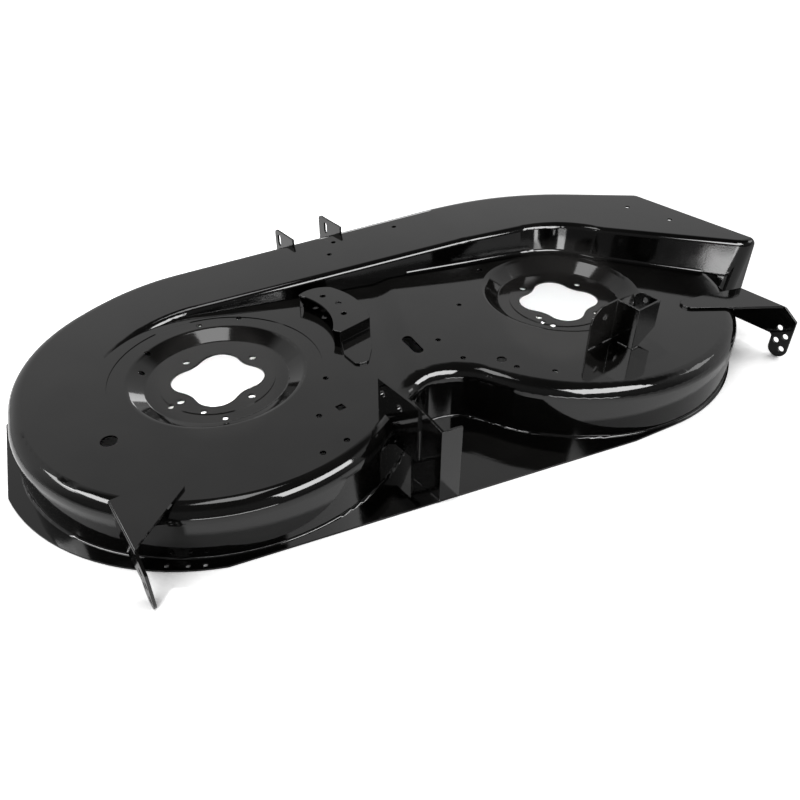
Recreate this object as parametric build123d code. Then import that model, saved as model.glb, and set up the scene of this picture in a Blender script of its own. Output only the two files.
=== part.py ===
from build123d import *
import os
from math import acos, asin, atan2, cos, degrees, radians, sin, sqrt, tan

# Bare welded deck of a two-blade side-discharge mower.
# The plan is laid out along the line of the two blade spindles, with the left spindle at the origin.
# At the end everything is turned so that +Y is the direction of travel. Millimetres, +Z up.
# Level zero is the top of the left spindle seat.

# Pressed sheet and its levels
spindle_distance = 545
sheet = 2.5
left_level = 12
right_rise = 6
shell_depth = 75
travel_turn = 15

# Chamber walls in plan
chamber_radius = 267
front_shift = 29
waist_depth = 139
crown_fillet = 20

# Step between the lower left plate and the higher right plate
step_start = 242
step_end = 268
step_turn = -14
step_blend = 60

# Discharge tunnel in plan, set out from the chamber and the guide wall round the right spindle
front_bend_radius = 420
front_normal = 59.4
front_beyond = 18
side_normal = 49
side_inside = 5.5
side_blend = 60
mouth_run = 41
mouth_blend = 30
outlet_beyond = 20
guide_left = 155.5
guide_right = 127.5
guide_draft = 13
draft_depth = 20
guide_fillet = 10
foot_fillet = 8
tunnel_start = 125
guide_start = 150

# Tunnel roof in side view
ramp_lead = 18
ramp_change = 450
ramp_steep = 0.080
ramp_gentle = 0.041
ramp_blend = 700

# Spindle recesses and their openings
recess_rim = 119
recess_floor = 97
rim_fillet = 12
floor_fillet = 5
ring_radius = 144
ring_drop = 1
seat_radius = 78
seat_rise = 1.2
lobe_tip = 63
lobe_waist = 49
lobe_radius = 29
lobe_turn = -15
lobe_count = 4
bolt_circle = 65
bolt_hole = 10

# Base flange
flange_centre = (-4, 6)
flange_width = 21
flange_rear_cut = 5
flange_left_cut = 8.5
flange_corner = 94
rear_run_short = 45
skirt_start = -85
flange_meet = 135
front_flange = 16
lip_width = 4
flange_fillet = 3

# Small holes in the pressing, each as a plan place from the spindle on its side
small_hole = 8
left_holes = [(-80, 86), (-94, 49), (2, 130), (61, 127), (131, -73), (97, -147), (113, -205), (79, -216)]
left_floor_holes = [(-70, -37), (-33, -66), (-10, -88)]
left_roof_holes = [(257, 253), (367, 252), (237, 216)]
right_holes = [(-239, -55), (-227, -110), (-170, -158), (-128, -187), (-167, 22), (-84, 111)]
right_floor_holes = [(-58, -47), (-48, -60)]
right_roof_holes = [(212, 128), (243, 54)]
middle_hole = 14
middle_hole_place = (-180, -134)
large_hole = 21
large_hole_place = (-151, -94)
square_hole = 11
square_hole_place = (128, -141)
slot_width = 15
slot_length = 48
slot_place = (-277, -51)
slot_turn = -86
rim_hole = 6
rim_hole_beyond = 10
rim_hole_angles = [244, 249, 253]

# Welded brackets
plate = 3.5
bend_outside = 3

# Gauge wheel brackets: bearing of the fold's front end from the nearer spindle, and its stand beyond the wall
gauge_bearings = {"left": 216.1, "right": -37.6}
gauge_stands = {"left": -5.8, "right": 19.6}
gauge_splays = {"left": -4, "right": 0}
gauge_folds = {"left": 86, "right": 75}
gauge_inner = {"left": 80, "right": 119}
gauge_inner_front = {"left": 5, "right": -38}
gauge_inner_width = 25
gauge_corner = 10
gauge_strip = 50
gauge_tail = 24
gauge_tail_drop = 17
gauge_lobe = 30
gauge_lobe_level = -62
gauge_hole = 9
gauge_hole_inset = 9
gauge_hole_step = 11
gauge_hole_count = 4

# Low bridge for the idler, in plan on the spindle layout
idler_far_left = (155, 123)
idler_far_crest = (188, 134)
idler_far_right = (208, 128)
idler_right_crest = (234, 65)
idler_near_right = (231, 19)
idler_near_left = (179, -2)
idler_near_horn = (170, 8)
idler_waist = (181, 55)
idler_rise = 20
idler_plate = 3
idler_tongue = [(172, -32), (179, -62), (197, -62), (213, -33)]
idler_round = 8
idler_holes = [(188, 106), (203, 77), (200, 45)]
idler_hole = 9

# Rear hanger: a flat plate lapped on an angle strut
strut_place = 204.5
strut_width = 27
strut_top = 48
strut_web = 56
hanger_front = 118
hanger_lap = 40
hanger_top = 60
hanger_slope = 52
hanger_low = -23
hanger_hole = 10
hanger_holes = [(75, 40), (109, 42)]

# Hanger channel on the right plate, folded from one plate
channel_corner_place = (-12, -146)
channel_side = 40
channel_back = 46
channel_rise = 63
channel_cut_high = 42
channel_cut_foot = 12
channel_plate = 3
channel_round = 14
channel_hole = 8
channel_hole_run = 22
channel_hole_drop = 9
wing_length = 50
wing_round = 24
wing_hole = 10
wing_hole_run = 22
wing_hole_rise = 44

# Front hanger tabs
tab_places = [196, 280]
tab_tops = [50, 58]
tab_reaches = [38, 46]
tab_height = 72
tab_round = 8
tab_slot_width = 8
tab_slot_length = 20
tab_slot_run = 25
tab_slot_drop = 17

# Working room for cutters
margin = 60

# Places that follow from the dimensions
left = (0, 0)
right = (spindle_distance, 0)
front_left = (0, front_shift)
base_level = left_level - shell_depth
right_level = left_level + right_rise
deck_left = -2 * chamber_radius
deck_right = 2 * spindle_distance
lateral = travel_turn
forward = travel_turn + 90
rearward = travel_turn - 90

half_distance = spindle_distance / 2
waist_reach = chamber_radius - waist_depth
waist_gap = half_distance**2 + waist_reach**2 - chamber_radius**2
waist_radius = waist_gap / (2 * waist_depth)
waist_centre = (half_distance, -waist_reach - waist_radius)
waist_angle = degrees(atan2(waist_centre[1], half_distance))

flange_radius = chamber_radius + flange_width
flange_left = flange_centre[0] - flange_radius + flange_left_cut
rear_reach = flange_radius - flange_centre[1] - flange_rear_cut

front_reach = chamber_radius + front_beyond
front_wall = front_shift + chamber_radius
ramp_start = chamber_radius * cos(radians(tunnel_start)) + ramp_lead
bend_rise = (front_wall - front_bend_radius) * sin(radians(front_normal))
bend_shift = (front_reach - front_bend_radius - bend_rise) / cos(radians(front_normal))
bend_centre = (spindle_distance + bend_shift, front_wall - front_bend_radius)

draft_level = left_level - draft_depth
outlet_reach = chamber_radius + outlet_beyond
side_reach = guide_right - side_inside
side_lean = radians(side_normal - travel_turn)
mouth_reach = ((outlet_reach - mouth_run) * cos(side_lean) - side_reach) / sin(side_lean)

guide_normal = degrees(acos((guide_left - guide_right) / spindle_distance))
blend_reach = side_reach + side_blend
blend_along = sqrt((guide_right + side_blend) ** 2 - blend_reach**2)
blend_angle = side_normal - degrees(atan2(blend_along, blend_reach))


def polar(centre, radius, angle):
    """Plan point at a radius and angle from a centre"""
    return (centre[0] + radius * cos(radians(angle)), centre[1] + radius * sin(radians(angle)))


def from_right(places):
    """Plan places that are measured from the right spindle"""
    return [(right[0] + x, right[1] + y) for x, y in places]


def arc(centre, radius, start, end):
    """Arc about a centre from one angle to another, in the sense of the change"""
    return CenterArc(centre, radius, start, end - start)


def meet(first_normal, first_reach, second_normal, second_reach):
    """Plan point where two straight walls meet, each set by its normal and reach from the right spindle"""
    spread = sin(radians(second_normal - first_normal))
    x = first_reach * sin(radians(second_normal)) - second_reach * sin(radians(first_normal))
    y = second_reach * cos(radians(first_normal)) - first_reach * cos(radians(second_normal))
    return (spindle_distance + x / spread, y / spread)


def upright(place, angle):
    """Vertical plane through a plan place, with its first axis along an angle and its second axis up"""
    along = (cos(radians(angle)), sin(radians(angle)), 0)
    aside = (sin(radians(angle)), -cos(radians(angle)), 0)
    return Plane(origin=(place[0], place[1], 0), x_dir=along, z_dir=aside)


def polygon(*points):
    """Flat face with straight sides"""
    return make_face(Polyline(*points, close=True))


def rounded(face, places, radius):
    """Face with the corners nearest to some places rounded"""
    corners = [face.vertices().sort_by_distance(Vector(*place))[0] for place in places]
    return fillet(corners, radius)


def drill(places, diameter):
    """Upright cutters for round holes at plan places"""
    long = 4 * shell_depth
    return [Pos(x, y, 0) * Cylinder(diameter / 2, long) for x, y in places]


blend_centre = polar(right, guide_right + side_blend, blend_angle)
mouth_centre = meet(side_normal, side_reach + mouth_blend, rearward, mouth_reach - mouth_blend)


def body_edges(inset):
    """Plan of the two chambers with the waist between them, and the side that lies inside the tunnel"""
    wall = chamber_radius - inset
    inside_left = polar(front_left, wall, tunnel_start - travel_turn)
    inside_right = polar(right, wall, front_normal)
    crown = [
        arc(waist_centre, waist_radius + inset, -waist_angle, 180 + waist_angle),
        arc(left, wall, waist_angle, -180),
        Line((-wall, 0), (-wall, front_shift)),
        arc(front_left, wall, 180, tunnel_start - travel_turn),
        arc(right, wall, front_normal, -180 - waist_angle),
    ]
    buried = [Line(inside_left, inside_right)]
    return crown, buried


def wall_lean(level):
    """How far the guide wall leans away from the spindles at a level"""
    return (level - draft_level) * tan(radians(guide_draft))


def tunnel_edges(inset, level=draft_level):
    """Plan of the tunnel at a level: front wall, leaning guide wall round the spindles, and the two open ends"""
    wall = chamber_radius - inset
    bend = front_bend_radius - inset
    back = inset + wall_lean(level)
    blend = side_blend - back
    near = guide_left + back
    far = guide_right + back
    mouth_front = meet(front_normal, front_reach - inset, travel_turn, outlet_reach + margin)
    mouth_side = meet(rearward, mouth_reach - inset, travel_turn, outlet_reach + margin)
    mouth = mouth_blend - inset
    mouth_turn = meet(side_normal, side_reach + back + mouth, rearward, mouth_reach - mouth_blend)
    front = [
        arc(front_left, wall, tunnel_start, 90),
        Line((0, front_shift + wall), (bend_centre[0], front_shift + wall)),
        arc(bend_centre, bend, 90, front_normal),
        Line(polar(bend_centre, bend, front_normal), mouth_front),
    ]
    guide = [
        Line(mouth_side, polar(mouth_turn, mouth, rearward)),
        arc(mouth_turn, mouth, rearward, side_normal - 180),
        Line(polar(mouth_turn, mouth, side_normal - 180), polar(blend_centre, blend, side_normal - 180)),
        arc(blend_centre, blend, side_normal - 180, blend_angle - 180),
        arc(right, far, blend_angle, guide_normal),
        Line(polar(right, far, guide_normal), polar(left, near, guide_normal)),
        arc(left, near, guide_normal, guide_start),
    ]
    ends = [
        Line(mouth_front, mouth_side),
        Line(polar(left, near, guide_start), polar(front_left, wall, tunnel_start)),
    ]
    return front, guide, ends


def guide_space(inset, top):
    """Space over the plates on the spindles' side of the guide wall, up to a level above the roof"""
    layers = []
    for level in (draft_level, top):
        front, guide, ends = tunnel_edges(inset, level)
        start = guide[0] @ 0
        end = guide[-1] @ 1
        behind = polar((start.X, start.Y), spindle_distance, rearward)
        rest = Polyline((end.X, end.Y), left, right, behind, (start.X, start.Y))
        layers.append(Pos(0, 0, level) * make_face(guide + rest.edges()))
    return loft(layers, ruled=True)


def under_roof(points, blend, bottom):
    """Solid below a roof line drawn in side view, with a smooth blend at each change of slope"""
    roof = FilletPolyline(*points, radius=blend)
    rest = Polyline(points[0], (points[0][0], bottom), (points[-1][0], bottom), points[-1])
    side = Plane.XZ * make_face(roof.edges() + rest.edges())
    return extrude(side, amount=2 * rear_reach, both=True)


def edges_over(solid, walls, lowest, highest, near=sheet / 100):
    """Edges of a solid that lie over plan lines, or near to them, and between two levels"""
    chosen = []
    for edge in solid.edges():
        points = [edge @ share for share in (0, 0.5, 1)]
        levels = [point.Z for point in points]
        shadows = [Vertex(point.X, point.Y, 0) for point in points]
        follows = [all(wall.distance_to(spot) < near for spot in shadows) for wall in walls]
        if min(levels) > lowest and max(levels) < highest and any(follows):
            chosen.append(edge)
    return chosen


def foot_sweep(path, level, inset):
    """Hollow fillet along the foot of the guide wall, with the plate on the left of the path"""
    line = Wire(path)
    start = line @ 0
    way = line % 0
    radius = foot_fillet + inset
    run = radius * tan(radians(45 - guide_draft / 2))
    rise = radius * (1 - sin(radians(guide_draft)))
    back = -rise * tan(radians(guide_draft))
    root = -crown_fillet / 2
    across = Plane(origin=(start.X, start.Y, level - inset), x_dir=(-way.Y, way.X, 0), z_dir=way)
    profile = [
        Polyline((back, rise), (root, rise), (root, root), (run, root), (run, 0)),
        arc((run, radius), radius, 270, 180 + guide_draft),
    ]
    return sweep(across * make_face(profile), path=line)


def recess(centre, level, inset):
    """Dish cut down from a plate level to the floor round a spindle seat"""
    floor = -seat_rise - inset
    rise = level + seat_rise
    spread = (recess_rim - recess_floor) / rise
    thicker = inset * (sqrt(1 + spread**2) - spread)
    foot = recess_floor + thicker
    tall = rise + sheet
    dish = Pos(centre[0], centre[1], floor + tall / 2) * Cone(foot, foot + spread * tall, tall)
    return dish


def recess_edges(solid, centre, radius, level):
    """Round edge of a recess at a radius and level"""
    middle = Vector(centre[0], centre[1], level)
    rounds = solid.edges().filter_by(GeomType.CIRCLE)
    near = [edge for edge in rounds if (edge.arc_center - middle).length < sheet]
    return [edge for edge in near if abs(edge.radius - radius) < sheet]


def form(inset):
    """Solid under the outer skin of the sheet, or under its inner skin when inset by one sheet"""
    bottom = base_level - inset
    height = 2 * shell_depth - bottom
    low = left_level - inset
    high = right_level - inset
    sky = 2 * shell_depth

    crown, buried = body_edges(inset)
    body = Pos(0, 0, bottom) * extrude(make_face(crown + buried), amount=height)
    plates = [(deck_left, low), (step_start, low), (step_end, high), (deck_right, high)]
    body = body & Rot(0, 0, step_turn) * under_roof(plates, step_blend, bottom)
    body = fillet(edges_over(body, crown, low - sheet, sky), crown_fillet - inset)

    front, guide, ends = tunnel_edges(inset)
    change = low + ramp_steep * (ramp_change - ramp_start)
    outlet = change + ramp_gentle * (deck_right - ramp_change)
    ramp = [(deck_left, low), (ramp_start, low), (ramp_change, change), (deck_right, outlet)]
    tunnel = Pos(0, 0, bottom) * extrude(make_face(front + guide + ends), amount=height)
    tunnel = tunnel - guide_space(inset, outlet)
    tunnel = tunnel & under_roof(ramp, ramp_blend, bottom)
    tunnel = fillet(edges_over(tunnel, front, low - sheet, sky), crown_fillet - inset)
    tunnel = fillet(edges_over(tunnel, guide, low - sheet, sky, wall_lean(outlet)), guide_fillet - inset)

    reach = chamber_radius - crown_fillet - inset
    within = Pos(*right) * Cylinder(reach, height)
    foot = tunnel_edges(inset, high)[1]
    bend_end = foot[4] @ 1
    run_end = polar((bend_end.X, bend_end.Y), reach, guide_normal + 90)
    foot_line = Line((bend_end.X, bend_end.Y), run_end)
    whole = body + tunnel + (foot_sweep(foot[1:5] + [foot_line], right_level, inset) & within)
    ring = Cylinder(ring_radius, shell_depth, align=(Align.CENTER, Align.CENTER, Align.MIN))
    whole = whole - Pos(0, 0, low - ring_drop) * ring
    for centre, level in ((left, left_level - ring_drop), (right, right_level)):
        whole = whole - recess(centre, level, inset)
        whole = fillet(recess_edges(whole, centre, recess_rim, level - inset), rim_fillet - inset)
        whole = fillet(recess_edges(whole, centre, recess_floor, -seat_rise - inset), floor_fillet + inset)
        seat = Cylinder(seat_radius - inset, left_level, align=(Align.CENTER, Align.CENTER, Align.MAX))
        whole = whole + Pos(centre[0], centre[1], -inset) * seat
    return whole


def base_plate():
    """Plan of the base flange: wide round the left chamber, straight at the rear, a lip at the right"""
    lip = chamber_radius + lip_width
    rear_drop = rear_reach + flange_centre[1]
    left_drop = flange_centre[0] - flange_left
    rear_angle = -180 + degrees(asin(rear_drop / flange_radius))
    left_angle = -180 + degrees(acos(left_drop / flange_radius))
    bend = front_bend_radius + front_flange
    wall = chamber_radius + front_flange
    mouth_front = meet(front_normal, front_reach + front_flange, travel_turn, outlet_reach)
    mouth_side = meet(rearward, mouth_reach + lip_width, travel_turn, outlet_reach)
    knee = mouth_blend + lip_width
    lip_angle = side_normal - degrees(acos((side_reach - lip_width) / lip))
    left_side = (flange_left, flange_corner)
    rear_side = (spindle_distance - rear_run_short, -rear_reach)
    outline = [
        arc(flange_centre, flange_radius, rear_angle, left_angle),
        Line(polar(flange_centre, flange_radius, left_angle), left_side),
        Line(left_side, polar(front_left, wall, flange_meet)),
        arc(front_left, wall, flange_meet, 90),
        Line((0, front_shift + wall), (bend_centre[0], front_shift + wall)),
        arc(bend_centre, bend, 90, front_normal),
        Line(polar(bend_centre, bend, front_normal), mouth_front),
        Line(mouth_front, mouth_side),
        Line(mouth_side, polar(mouth_centre, knee, rearward)),
        arc(mouth_centre, knee, rearward, side_normal - 180),
        Line(polar(mouth_centre, knee, side_normal - 180), polar(right, lip, lip_angle)),
        arc(right, lip, lip_angle, skirt_start),
        Line(polar(right, lip, skirt_start), rear_side),
        Line(rear_side, polar(flange_centre, flange_radius, rear_angle)),
    ]
    return make_face(outline)


def beyond_outlet():
    """Everything past the outlet plane"""
    size = 2 * spindle_distance
    block = Box(size, 2 * size, 2 * size, align=(Align.MIN, Align.CENTER, Align.CENTER))
    return Pos(*polar(right, outlet_reach, lateral)) * Rot(0, 0, lateral) * block


def lobed_opening(centre):
    """Opening with round lobes joined by hollow arcs that touch them"""
    pitch = 360 / lobe_count
    offset = lobe_tip - lobe_radius
    near = offset * cos(radians(pitch / 2))
    hollow = lobe_radius**2 - lobe_waist**2 - offset**2 + 2 * near * lobe_waist
    hollow = hollow / (2 * (lobe_waist - near - lobe_radius))
    far = lobe_waist + hollow
    spread = degrees(atan2(far * sin(radians(pitch / 2)), far * cos(radians(pitch / 2)) - offset))
    outline = []
    for count in range(lobe_count):
        turn = lobe_turn + pitch * count
        outline.append(arc(polar(centre, offset, turn), lobe_radius, turn - spread, turn + spread))
        start = turn + spread + 180
        outline.append(arc(polar(centre, far, turn + pitch / 2), hollow, start, turn + pitch - spread + 180))
    return Pos(0, 0, -shell_depth) * extrude(make_face(outline), amount=2 * shell_depth)


def deck_shell(outer, inner):
    """The pressing: sheet between the two skins with its base flange, openings and holes"""
    flange = Pos(0, 0, base_level) * extrude(base_plate(), amount=sheet)
    solid = outer - beyond_outlet() + flange
    crown, buried = body_edges(0)
    front, guide, ends = tunnel_edges(0)
    flange_top = base_level + sheet
    feet = edges_over(solid, crown + front + guide[:3], flange_top - sheet / 2, flange_top + sheet / 2)
    solid = fillet(feet, flange_fillet)
    shell = solid - inner
    cutters = [lobed_opening(left), lobed_opening(right)]
    for centre in (left, right):
        turns = [lobe_turn + (count + 0.5) * 360 / lobe_count for count in range(lobe_count)]
        cutters += drill([polar(centre, bolt_circle, turn) for turn in turns], bolt_hole)
    cutters += drill(left_holes + left_floor_holes + left_roof_holes, small_hole)
    cutters += drill(from_right(right_holes + right_floor_holes + right_roof_holes), small_hole)
    cutters += drill(from_right([middle_hole_place]), middle_hole)
    cutters += drill([large_hole_place], large_hole)
    rim_circle = chamber_radius + rim_hole_beyond
    cutters += drill([polar(left, rim_circle, angle) for angle in rim_hole_angles], rim_hole)
    cutters.append(Pos(*square_hole_place) * Rot(0, 0, lateral) * Box(square_hole, square_hole, 2 * shell_depth))
    slot = extrude(SlotOverall(slot_length, slot_width), amount=shell_depth, both=True)
    cutters += [Pos(x, y, 0) * Rot(0, 0, slot_turn) * slot for x, y in from_right([slot_place])]
    return shell - cutters


def standing(outline, place, angle, thickness):
    """Upright plate drawn in side view, thickened to the left of the way it runs"""
    return extrude(upright(place, angle) * outline, amount=-thickness)


def gauge_bracket(side, spindle, level, inward):
    """Plate on the crown folded down along its outer edge, with a tail that carries a staggered row of holes"""
    corner = polar(spindle, chamber_radius + gauge_stands[side], lateral + gauge_bearings[side])
    fold = gauge_folds[side]
    reach = gauge_inner[side]
    front = gauge_inner_front[side]
    behind_angle = rearward + gauge_splays[side]

    def spot(inside, behind):
        return polar(polar(corner, inside, inward), behind, behind_angle)

    inner_front = spot(reach, front)
    inner_rear = spot(reach, front + gauge_inner_width)
    top = polygon(spot(0, 0), spot(0, fold), inner_rear, inner_front)
    top = rounded(top, [inner_front, inner_rear], gauge_corner)
    roof = level + plate
    top = Pos(0, 0, level) * extrude(top, amount=plate)
    tail = fold + gauge_tail
    inside = tail - gauge_lobe
    strip = roof - gauge_strip
    drop = polygon(
        (0, roof), (fold, roof), (tail, roof - gauge_tail_drop), (tail, gauge_lobe_level),
        (inside, gauge_lobe_level), (inside, strip), (0, strip),
    )
    drop = rounded(drop, [(tail, gauge_lobe_level), (inside, gauge_lobe_level)], gauge_lobe / 2 - sheet / 10)
    drop = rounded(drop, [(inside, strip)], gauge_corner / 2)
    for count in range(gauge_hole_count):
        across = gauge_hole_inset if count % 2 else gauge_lobe - gauge_hole_inset
        rise = gauge_lobe_level + gauge_lobe / 2 + gauge_hole_step * count
        drop = drop - Pos(inside + across, rise) * Circle(gauge_hole / 2)
    turn = 1 if side == "left" else -1
    hang = extrude(upright(corner, behind_angle) * drop, amount=-turn * plate)
    bracket = top + hang
    middle = polar(corner, fold / 2, behind_angle)
    ridge = bracket.edges().sort_by_distance(Vector(middle[0], middle[1], roof))[0]
    return fillet(ridge, bend_outside)


def idler_bridge():
    """Low bridge on the left plate: a waisted top, a leg at each end and a tongue at the near foot"""
    roof = left_level + idler_rise
    outline = [
        ThreePointArc(idler_far_left, idler_far_crest, idler_far_right),
        ThreePointArc(idler_far_right, idler_right_crest, idler_near_right),
        Line(idler_near_right, idler_near_left),
        Line(idler_near_left, idler_near_horn),
        ThreePointArc(idler_near_horn, idler_waist, idler_far_left),
    ]
    top = Pos(0, 0, roof - idler_plate) * extrude(make_face(outline), amount=idler_plate)
    bridge = top - drill(idler_holes, idler_hole)
    tongue = polygon(idler_near_right, idler_near_left, *idler_tongue)
    tongue = rounded(tongue, idler_tongue, idler_round)
    bridge = bridge + Pos(0, 0, left_level) * extrude(tongue, amount=idler_plate)
    ends = ((idler_near_left, idler_near_right, 1), (idler_far_left, idler_far_right, -1))
    for start, end, inward in ends:
        run = Vector(*end) - Vector(*start)
        angle = degrees(atan2(run.Y, run.X))
        side = polygon((0, left_level), (run.length, left_level), (run.length, roof), (0, roof))
        bridge = bridge + extrude(upright(start, angle) * side, amount=-inward * idler_plate)
    return bridge


def rear_strut(outer):
    """Angle strut that stands on the rear flange, with its web along the direction of travel"""
    foot = base_level + sheet
    place = (strut_place, -rear_reach)
    web = polygon((0, foot), (strut_web, foot), (strut_web, hanger_top), (hanger_slope, hanger_top), (0, strut_top))
    web = standing(web, place, forward, -plate)
    strip = polygon((0, foot), (strut_width, foot), (strut_width, strut_top), (0, strut_top))
    strip = standing(strip, place, 0, plate)
    return web + strip - outer


def rear_hanger(outer):
    """Flat plate lapped on the strut's web, standing on the crown of the left chamber"""
    outline = polygon(
        (hanger_lap, hanger_low), (hanger_front, hanger_low), (hanger_front, hanger_top), (hanger_slope, hanger_top),
        (hanger_lap, hanger_top - sheet),
    )
    for spot in hanger_holes:
        outline = outline - Pos(*spot) * Circle(hanger_hole / 2)
    return standing(outline, (strut_place, -rear_reach), forward, plate) - outer


def hanger_channel():
    """Folded plate on the right plate: a wing, a left side, a back with its foot cut away and a right side"""
    foot = right_level
    roof = foot + channel_rise
    channel_corner = from_right([channel_corner_place])[0]
    rear = polar(channel_corner, channel_side, rearward)
    far_rear = polar(rear, channel_back, lateral)
    side = polygon((0, foot), (channel_side, foot), (channel_side, roof), (0, roof))
    left_side = standing(side, channel_corner, rearward, channel_plate)
    back = polygon(
        (0, foot), (channel_cut_foot, foot), (channel_back, roof - channel_cut_high), (channel_back, roof), (0, roof)
    )
    back = standing(back, rear, lateral, channel_plate)
    right_side = polygon(
        (0, roof - channel_cut_high), (channel_side, roof - channel_cut_high), (channel_side, roof), (0, roof)
    )
    right_side = rounded(right_side, [(channel_side, roof)], channel_round)
    right_side = right_side - Pos(channel_hole_run, roof - channel_hole_drop) * Circle(channel_hole / 2)
    right_side = standing(right_side, far_rear, forward, channel_plate)
    wing = polygon((-channel_plate, foot), (wing_length, foot), (wing_length, roof), (-channel_plate, roof))
    wing = rounded(wing, [(wing_length, roof)], wing_round)
    wing = wing - Pos(wing_hole_run, foot + wing_hole_rise) * Circle(wing_hole / 2)
    wing = standing(wing, channel_corner, lateral + 180, channel_plate)
    return left_side + back + right_side + wing


def front_tab(along, roof, stand, outer):
    """Slotted hanger tab along the direction of travel, standing out from the front wall"""
    place = (along, front_wall - crown_fillet)
    reach = crown_fillet + stand
    foot = roof - tab_height
    outline = polygon((0, foot), (reach, foot), (reach, roof), (0, roof))
    outline = rounded(outline, [(reach, foot), (reach, roof)], tab_round)
    slot = Rot(0, 0, 90) * SlotOverall(tab_slot_length, tab_slot_width)
    outline = outline - Pos(crown_fillet + tab_slot_run, roof - tab_slot_drop) * slot
    return standing(outline, place, forward, plate) - outer


outer = form(0)
inner = form(sheet)
nodes = {
    "left_gauge_bracket": gauge_bracket("left", left, left_level, lateral) - outer,
    "right_gauge_bracket": gauge_bracket("right", right, right_level, lateral + 180) - outer,
    "idler_bridge": idler_bridge() - outer,
    "rear_strut": rear_strut(outer),
    "rear_hanger": rear_hanger(outer),
    "hanger_channel": hanger_channel(),
    "left_front_tab": front_tab(tab_places[0], tab_tops[0], tab_reaches[0], outer),
    "right_front_tab": front_tab(tab_places[1], tab_tops[1], tab_reaches[1], outer),
    "deck_shell": deck_shell(outer, inner),
}

os.makedirs("parts", exist_ok=True)
for name, solid in nodes.items():
    turned = Rot(0, 0, -travel_turn) * solid
    export_step(turned, "parts/" + name + ".step")
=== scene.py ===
import math

import bmesh
import bpy
from mathutils import Matrix, Vector


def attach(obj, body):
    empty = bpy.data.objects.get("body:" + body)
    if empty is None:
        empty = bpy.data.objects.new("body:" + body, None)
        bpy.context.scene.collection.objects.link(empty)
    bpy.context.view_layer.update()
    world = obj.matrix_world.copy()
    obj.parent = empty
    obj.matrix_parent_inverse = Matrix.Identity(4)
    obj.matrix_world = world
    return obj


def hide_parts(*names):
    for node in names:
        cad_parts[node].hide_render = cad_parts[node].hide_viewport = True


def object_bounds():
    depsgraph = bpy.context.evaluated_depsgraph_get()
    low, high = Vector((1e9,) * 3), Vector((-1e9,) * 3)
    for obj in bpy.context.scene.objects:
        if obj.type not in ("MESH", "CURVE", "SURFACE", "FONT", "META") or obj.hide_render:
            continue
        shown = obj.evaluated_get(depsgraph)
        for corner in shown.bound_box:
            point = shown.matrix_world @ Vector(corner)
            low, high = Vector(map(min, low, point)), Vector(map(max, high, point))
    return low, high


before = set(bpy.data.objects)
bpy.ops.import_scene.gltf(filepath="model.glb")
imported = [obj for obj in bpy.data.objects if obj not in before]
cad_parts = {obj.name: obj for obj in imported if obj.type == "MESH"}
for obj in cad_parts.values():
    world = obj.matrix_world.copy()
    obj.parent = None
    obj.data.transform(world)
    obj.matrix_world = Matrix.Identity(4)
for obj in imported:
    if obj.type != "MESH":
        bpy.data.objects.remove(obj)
cad_low, cad_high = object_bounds()

# Lengths are in metres


# Shader node helpers


def link(tree, source, output, target, entry):
    """Joins one node's output to another node's input"""
    tree.links.new(source.outputs[output], target.inputs[entry])


def spread(tree, source, output, span, result=(0, 1)):
    """Maps a span of values to a range, and holds the range's ends beyond it"""
    node = tree.nodes.new("ShaderNodeMapRange")
    node.inputs["From Min"].default_value = span[0]
    node.inputs["From Max"].default_value = span[1]
    node.inputs["To Min"].default_value = result[0]
    node.inputs["To Max"].default_value = result[1]
    link(tree, source, output, node, "Value")
    return node


def ramp(tree, stops):
    """Colour ramp through positions and colours, in rising order"""
    node = tree.nodes.new("ShaderNodeValToRGB")
    elements = node.color_ramp.elements
    for count, (position, colour) in enumerate(stops):
        element = elements[count] if count < len(elements) else elements.new(position)
        element.position = position
        element.color = colour
    return node


# Gloss black paint on pressed steel

PAINT_TONES = ((0.0030, 0.0029, 0.0028, 1), (0.0060, 0.0058, 0.0055, 1))
PATTERN_SPAN = (0.3, 0.7)
MOTTLE_SCALE = 14
HAZE_SCALE = 55
HAZE_ROUGHNESS = (0.05, 0.085)
PEEL_SCALE = 420
PEEL_STRENGTH = 0.035
PEEL_DEPTH = 0.0004
WAVE_SCALE = 26
WAVE_STRENGTH = 0.015
WAVE_DEPTH = 0.004


def noise(tree, place, scale, detail, roughness=0.5):
    """Noise pattern on the object's own coordinates"""
    node = tree.nodes.new("ShaderNodeTexNoise")
    node.inputs["Scale"].default_value = scale
    node.inputs["Detail"].default_value = detail
    node.inputs["Roughness"].default_value = roughness
    link(tree, place, "Object", node, "Vector")
    return node


def relief(tree, pattern, strength, depth):
    """Slight relief from a pattern"""
    node = tree.nodes.new("ShaderNodeBump")
    node.inputs["Strength"].default_value = strength
    node.inputs["Distance"].default_value = depth
    link(tree, pattern, "Fac", node, "Height")
    return node


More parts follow.
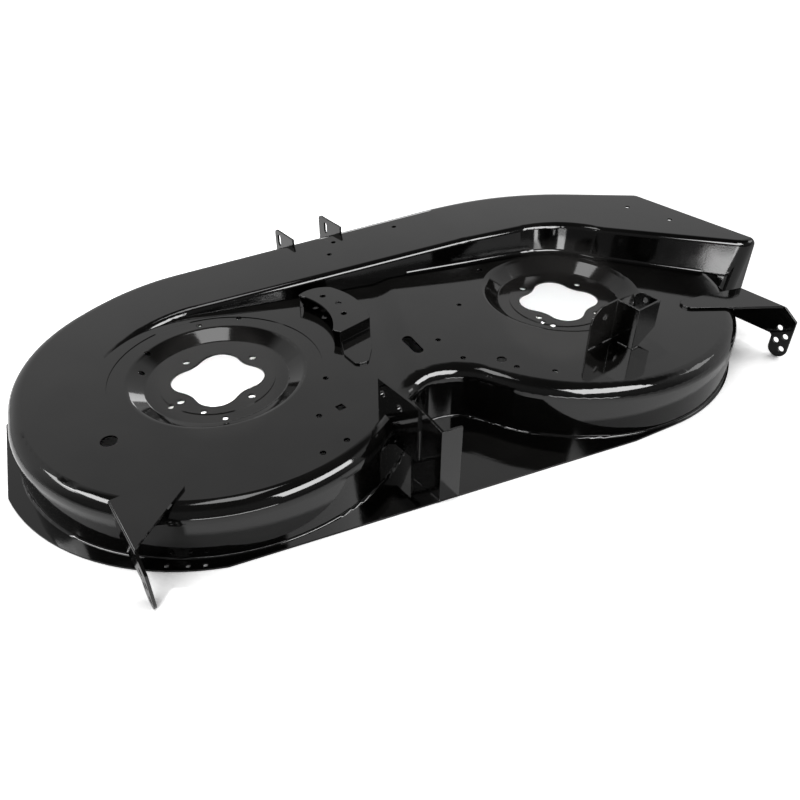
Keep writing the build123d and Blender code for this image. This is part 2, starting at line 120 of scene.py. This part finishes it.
def gloss_paint():
    """Thick black gloss paint: faint mottle and haze, orange peel, slow waves of the pressed sheet"""
    material = bpy.data.materials.new("gloss_black_paint")
    material.use_nodes = True
    tree = material.node_tree
    shader = tree.nodes["Principled BSDF"]
    place = tree.nodes.new("ShaderNodeTexCoord")

    tones = ramp(tree, zip(PATTERN_SPAN, PAINT_TONES))
    link(tree, noise(tree, place, MOTTLE_SCALE, 4), "Fac", tones, "Fac")
    link(tree, tones, "Color", shader, "Base Color")

    haze = noise(tree, place, HAZE_SCALE, 5, 0.6)
    gloss = spread(tree, haze, "Fac", PATTERN_SPAN, HAZE_ROUGHNESS)
    link(tree, gloss, "Result", shader, "Roughness")

    peel = relief(tree, noise(tree, place, PEEL_SCALE, 2), PEEL_STRENGTH, PEEL_DEPTH)
    waves = relief(tree, noise(tree, place, WAVE_SCALE, 1), WAVE_STRENGTH, WAVE_DEPTH)
    link(tree, peel, "Normal", waves, "Normal")
    link(tree, waves, "Normal", shader, "Normal")
    return material


paint = gloss_paint()


# Pressings and plates

MERGE_DISTANCE = 0.000002
FLAT_ANGLE = math.radians(0.05)
CREASE_ANGLE = math.radians(32)
EDGE_ROUND = 0.0006


def painted_piece(name, mesh):
    """Object of a mesh in the paint"""
    mesh.materials.clear()
    mesh.materials.append(paint)
    piece = bpy.data.objects.new(name, mesh)
    bpy.context.scene.collection.objects.link(piece)
    return piece


def smooth_copy(node):
    """Merged copy of a solid's mesh with whole flat faces, and the shell's own surface normals"""
    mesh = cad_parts[node].data.copy()
    normals = [0.0] * (3 * len(mesh.loops))
    mesh.corner_normals.foreach_get("vector", normals)
    stored = mesh.attributes.new("surface_normal", "FLOAT_VECTOR", "CORNER")
    stored.data.foreach_set("vector", normals)
    shape = bmesh.new()
    shape.from_mesh(mesh)
    bmesh.ops.remove_doubles(shape, verts=shape.verts, dist=MERGE_DISTANCE)
    bmesh.ops.dissolve_limit(
        shape, angle_limit=FLAT_ANGLE, verts=shape.verts, edges=shape.edges
    )
    for face in shape.faces:
        face.smooth = True
    for edge in shape.edges:
        edge.smooth = edge.calc_face_angle(math.pi) < CREASE_ANGLE
    shape.to_mesh(mesh)
    shape.free()
    kept = [Vector(corner.vector) for corner in mesh.attributes["surface_normal"].data]
    mesh.attributes.remove(mesh.attributes["surface_normal"])
    mesh.attributes.remove(mesh.attributes["custom_normal"])
    if node == "deck_shell":
        mesh.normals_split_custom_set(kept)
    return painted_piece("painted_" + node, mesh)


def round_edges(piece):
    """Small rounding along the cut edges of a plate piece"""
    edges = piece.modifiers.new("cut_edges", "BEVEL")
    edges.width = EDGE_ROUND
    edges.segments = 2
    edges.limit_method = "ANGLE"
    edges.angle_limit = CREASE_ANGLE
    normals = piece.modifiers.new("even_shading", "WEIGHTED_NORMAL")
    normals.keep_sharp = True


for node in sorted(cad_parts):
    piece = smooth_copy(node)
    if node != "deck_shell":
        round_edges(piece)
    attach(piece, "root")
    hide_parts(node)


# Weld beads at the rear hanger and at the foot of the hanger channel

BEAD_RADIUS = 0.0021
RIPPLE_STEP = 0.0030
RIPPLE_SQUASH = 0.9
RIPPLE_SEGMENTS = 8
RIPPLE_RINGS = 4

HANGER_FACE = 0.1223
STRUT_FACE = 0.1258
FLANGE_TOP = -0.0605
LAP_EDGE = -0.2805
HANGER_SEAMS = (
    ((STRUT_FACE, LAP_EDGE, -0.020), (STRUT_FACE, LAP_EDGE, 0.024)),
    ((HANGER_FACE, -0.2373, -0.018), (HANGER_FACE, -0.2040, 0.0105)),
    ((STRUT_FACE, -0.3200, FLANGE_TOP), (STRUT_FACE, -0.3060, FLANGE_TOP)),
    ((STRUT_FACE, -0.2860, FLANGE_TOP), (STRUT_FACE, -0.2720, FLANGE_TOP)),
)

PLATE_TOP = 0.018
WING_FACE = -0.2820
CHANNEL_SIDE = 0.4770
CHANNEL_BACK = -0.3190
CHANNEL_SEAMS = (
    ((0.4300, WING_FACE, PLATE_TOP), (0.4420, WING_FACE, PLATE_TOP)),
    ((0.4600, WING_FACE, PLATE_TOP), (0.4755, WING_FACE, PLATE_TOP)),
    ((CHANNEL_SIDE, -0.2950, PLATE_TOP), (CHANNEL_SIDE, -0.3090, PLATE_TOP)),
    ((0.4785, CHANNEL_BACK, PLATE_TOP), (0.4880, CHANNEL_BACK, PLATE_TOP)),
)


def weld_bead(shape, start, end):
    """Row of overlapping ripples along a seam"""
    run = end - start
    turn = run.to_track_quat("Z", "Y").to_matrix().to_4x4()
    squash = Matrix.Diagonal((1, 1, RIPPLE_SQUASH, 1))
    steps = round(run.length / RIPPLE_STEP)
    for step in range(steps + 1):
        spot = Matrix.Translation(start.lerp(end, step / steps))
        bmesh.ops.create_uvsphere(
            shape,
            u_segments=RIPPLE_SEGMENTS,
            v_segments=RIPPLE_RINGS,
            radius=BEAD_RADIUS,
            matrix=spot @ turn @ squash,
        )


def weld_piece(name, seams):
    """All the beads of one bracket in one painted piece"""
    shape = bmesh.new()
    for start, end in seams:
        weld_bead(shape, Vector(start), Vector(end))
    for face in shape.faces:
        face.smooth = True
    mesh = bpy.data.meshes.new(name)
    shape.to_mesh(mesh)
    shape.free()
    piece = painted_piece(name, mesh)
    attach(piece, "root")


weld_piece("hanger_welds", HANGER_SEAMS)
weld_piece("channel_welds", CHANNEL_SEAMS)


# Stage: pale floor, backdrop, lamps and camera


def bearing(azimuth, elevation):
    """Unit direction at a compass bearing from the direction of travel and a height angle"""
    level = math.cos(math.radians(elevation))
    return Vector((
        math.sin(math.radians(azimuth)) * level,
        math.cos(math.radians(azimuth)) * level,
        math.sin(math.radians(elevation)),
    ))


EYE = Vector((-0.3274, -0.8181, 0.603))
EYE_BEARING = 38.2
EYE_DROP = 37.11
LENS = 34.2
SENSOR = 36

MIDDLE = Vector((0.26, -0.05, 0))
CROWN = Vector((-0.25, -0.09, 0))
SPINDLES = (Vector((0, 0, 0)), Vector((0.52643, -0.14106, 0)))

FLOOR_LEVEL = cad_low.z - 0.0002
FLOOR_SIZE = 16
FLOOR_GLEAM = 0.3
# Reach and span of the ambient occlusion that paints shade on the floor under and around the deck
PAINTED_SHADE_REACH = 0.5
PAINTED_SHADE_SPAN = (0.35, 0.6)

# Brightness by height: the pale backdrop ahead of the camera and the darker room behind it
BACKDROP = ((0.0, 0.64), (0.70, 0.62), (0.79, 0.05), (1.0, 0.04))
ROOM = ((0.0, 0.18), (0.10, 0.14), (0.30, 0.20), (0.70, 0.20), (0.85, 0.07), (1.0, 0.06))
BACKDROP_TURN = (-0.35, 0.15)

# Name, place, width, height, brightness, target
SOFT_BOXES = (
    ("left_box", MIDDLE + bearing(-76, 41) * 1.6, 0.75, 0.34, 14, MIDDLE),
    ("crown_box", Vector((-0.49, 0.19, 0.345)), 0.24, 0.07, 9, CROWN),
    ("right_box", Vector((0.34, -0.85, 0.72)), 0.75, 0.42, 15, MIDDLE),
    ("low_box", MIDDLE + bearing(207, 1.2) * 7, 5.1, 0.4, 10, MIDDLE),
    ("side_box", MIDDLE + bearing(121, 29) * 1.8, 0.5, 0.35, 3, MIDDLE),
    ("top_box", MIDDLE + bearing(-45, 78) * 1.5, 0.6, 0.4, 5, MIDDLE),
    ("front_box", MIDDLE + bearing(32, 16) * 2.2, 0.5, 0.3, 4, MIDDLE),
)

# Name, place, target, cone in degrees, soft edge, size of the source, power
SPOT_LAMPS = [
    ("floor_wash", MIDDLE + bearing(28, 62) * 3, MIDDLE + Vector((-0.18, 0, 0)), 26, 0.3, 0.12, 380)
]
OPENING_POWER = 105
for count, spindle in enumerate(SPINDLES):
    power = OPENING_POWER * (EYE - spindle).length_squared
    SPOT_LAMPS.append(("opening_spot_" + str(count + 1), EYE, spindle, 9, 0.2, 0.01, power))


def seen_share(tree, gleam=None):
    """Share of a white ground that the camera sees, and the gloss too where a gleam is given"""
    path = tree.nodes.new("ShaderNodeLightPath")
    direct = tree.nodes.new("ShaderNodeMath")
    direct.operation = "ADD"
    link(tree, path, "Is Camera Ray", direct, 0)
    link(tree, path, "Is Transmission Ray", direct, 1)
    if gleam is None:
        return direct
    share = tree.nodes.new("ShaderNodeMath")
    share.operation = "MULTIPLY_ADD"
    share.inputs[1].default_value = gleam
    link(tree, path, "Is Glossy Ray", share, 0)
    link(tree, direct, "Value", share, 2)
    return share


def white_paper():
    """White paper that glows white, with painted shade from ambient occlusion where the deck covers
    it
    """
    material = bpy.data.materials.new("white_paper")
    material.use_nodes = True
    tree = material.node_tree
    paper = tree.nodes["Principled BSDF"]
    paper.inputs["Base Color"].default_value = (0.9, 0.9, 0.9, 1)
    paper.inputs["Roughness"].default_value = 1
    paper.inputs["Specular IOR Level"].default_value = 0
    paper.inputs["Emission Color"].default_value = (1, 1, 1, 1)
    # Painted shade: ambient occlusion cuts the floor's white glow under and around the deck
    painted_shade = tree.nodes.new("ShaderNodeAmbientOcclusion")
    painted_shade.samples = 8
    painted_shade.inputs["Distance"].default_value = PAINTED_SHADE_REACH
    lift = tree.nodes.new("ShaderNodeMath")
    lift.operation = "MULTIPLY"
    link(tree, spread(tree, painted_shade, "AO", PAINTED_SHADE_SPAN), "Result", lift, 0)
    link(tree, seen_share(tree, FLOOR_GLEAM), "Value", lift, 1)
    link(tree, lift, "Value", paper, "Emission Strength")
    return material


def pale_floor():
    """Paper floor just under the deck"""
    shape = bmesh.new()
    bmesh.ops.create_grid(shape, x_segments=1, y_segments=1, size=FLOOR_SIZE / 2)
    bmesh.ops.translate(shape, verts=shape.verts, vec=(MIDDLE.x, MIDDLE.y, FLOOR_LEVEL))
    mesh = bpy.data.meshes.new("floor")
    shape.to_mesh(mesh)
    shape.free()
    mesh.materials.append(white_paper())
    floor = bpy.data.objects.new("floor", mesh)
    bpy.context.scene.collection.objects.link(floor)


def grey_ramp(tree, height, stops):
    """Grey ramp over the height of a direction"""
    node = ramp(tree, [(position, (value, value, value, 1)) for position, value in stops])
    link(tree, height, "Z", node, "Fac")
    return node


def studio_world():
    """Pale backdrop ahead of the camera and darker room behind it, white where the camera looks"""
    world = bpy.data.worlds.new("studio")
    world.use_nodes = True
    tree = world.node_tree
    place = tree.nodes.new("ShaderNodeTexCoord")
    height = tree.nodes.new("ShaderNodeSeparateXYZ")
    link(tree, place, "Generated", height, "Vector")
    facing = tree.nodes.new("ShaderNodeVectorMath")
    facing.operation = "DOT_PRODUCT"
    facing.inputs[1].default_value = bearing(EYE_BEARING, 0)
    link(tree, place, "Generated", facing, 0)

    around = tree.nodes.new("ShaderNodeMix")
    around.data_type = "RGBA"
    link(tree, spread(tree, facing, "Value", BACKDROP_TURN), "Result", around, "Factor")
    link(tree, grey_ramp(tree, height, ROOM), "Color", around, "A")
    link(tree, grey_ramp(tree, height, BACKDROP), "Color", around, "B")

    white = tree.nodes.new("ShaderNodeMix")
    white.data_type = "RGBA"
    white.inputs["B"].default_value = (1, 1, 1, 1)
    link(tree, seen_share(tree), "Value", white, "Factor")
    link(tree, around, "Result", white, "A")
    link(tree, white, "Result", tree.nodes["Background"], "Color")
    bpy.context.scene.world = world


def place_lamp(name, lamp, spot, target):
    """Puts a lamp at a spot and turns it to face a target"""
    holder = bpy.data.objects.new(name, lamp)
    bpy.context.scene.collection.objects.link(holder)
    holder.location = spot
    holder.rotation_euler = (target - spot).to_track_quat("-Z", "Y").to_euler()
    return holder


def soft_box(name, place, width, height, brightness, target):
    """Rectangular lamp of even brightness that shows in the gloss only"""
    lamp = bpy.data.lights.new(name, "AREA")
    lamp.shape = "RECTANGLE"
    lamp.size = width
    lamp.size_y = height
    lamp.energy = brightness * math.pi * width * height
    holder = place_lamp(name, lamp, place, target)
    holder.visible_diffuse = False
    holder.visible_camera = False


def spot_lamp(name, place, target, cone, soft_edge, size, power):
    """Spot that whitens the floor, around the deck or through an opening, with no highlight"""
    lamp = bpy.data.lights.new(name, "SPOT")
    lamp.spot_size = math.radians(cone)
    lamp.spot_blend = soft_edge
    lamp.shadow_soft_size = size
    lamp.energy = power
    place_lamp(name, lamp, place, target).visible_glossy = False


def camera():
    """Camera at the photograph's viewing angle"""
    data = bpy.data.cameras.new("camera")
    data.sensor_width = SENSOR
    data.lens = LENS
    data.clip_start = 0.05
    data.clip_end = 50
    holder = bpy.data.objects.new("camera", data)
    bpy.context.scene.collection.objects.link(holder)
    holder.location = EYE
    holder.rotation_euler = (math.radians(90 - EYE_DROP), 0, -math.radians(EYE_BEARING))
    bpy.context.scene.camera = holder


pale_floor()
studio_world()
for row in SOFT_BOXES:
    soft_box(*row)
for row in SPOT_LAMPS:
    spot_lamp(*row)
camera()
bpy.context.scene.view_settings.view_transform = "Standard"
